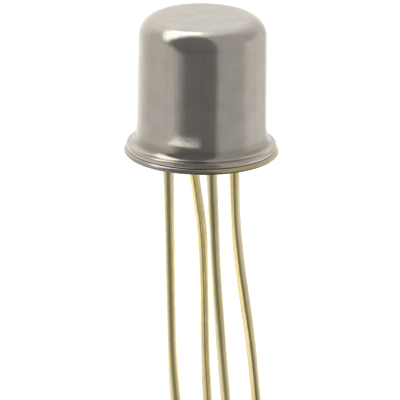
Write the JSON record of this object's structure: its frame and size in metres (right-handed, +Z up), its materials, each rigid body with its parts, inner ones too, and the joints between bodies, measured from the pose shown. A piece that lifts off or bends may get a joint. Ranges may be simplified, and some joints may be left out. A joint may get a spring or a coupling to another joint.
{
  "type": "germanium transistor",
  "caption": "Small-signal transistor in a round drawn metal can with a flanged header, a glass seal and long wire leads for soldering into a board.",
  "frame": {"origin": "centre of the seating plane, the underside of the header's flange", "axes": "+Z up along the can's axis, with the leads hanging towards -Z; -Y is the front, and the index tab is at the back, right of centre"},
  "size_m": [0.0056, 0.0063, 0.0187],
  "materials": {
    "can_plating": "satin nickel plating on a drawn steel can",
    "header_plating": "satin gold plating on an iron-nickel-cobalt stamping",
    "seal_glass": "fused sealing glass, glossy, dark grey-green",
    "lead_plating": "satin gold plating on drawn iron-nickel-cobalt wire",
    "strip_nickel": "bare rolled nickel",
    "soft_solder": "dull indium and tin alloy",
    "germanium": "etched germanium, dark grey and slightly glossy",
    "bond_wire": "bright fine gold wire"
  },
  "bodies": {
    "root": {"can": "can_plating", "header_eyelet": "header_plating", "glass_seal": "seal_glass", "emitter_lead": "lead_plating", "base_lead": "lead_plating", "collector_lead": "lead_plating", "case_lead": "lead_plating", "collector_tab": "strip_nickel", "pellet_solder": "soft_solder", "germanium_pellet": "germanium", "emitter_bead": "soft_solder", "base_bead": "soft_solder", "emitter_wire": "bond_wire", "base_wire": "bond_wire"}
  },
  "joints": []
}
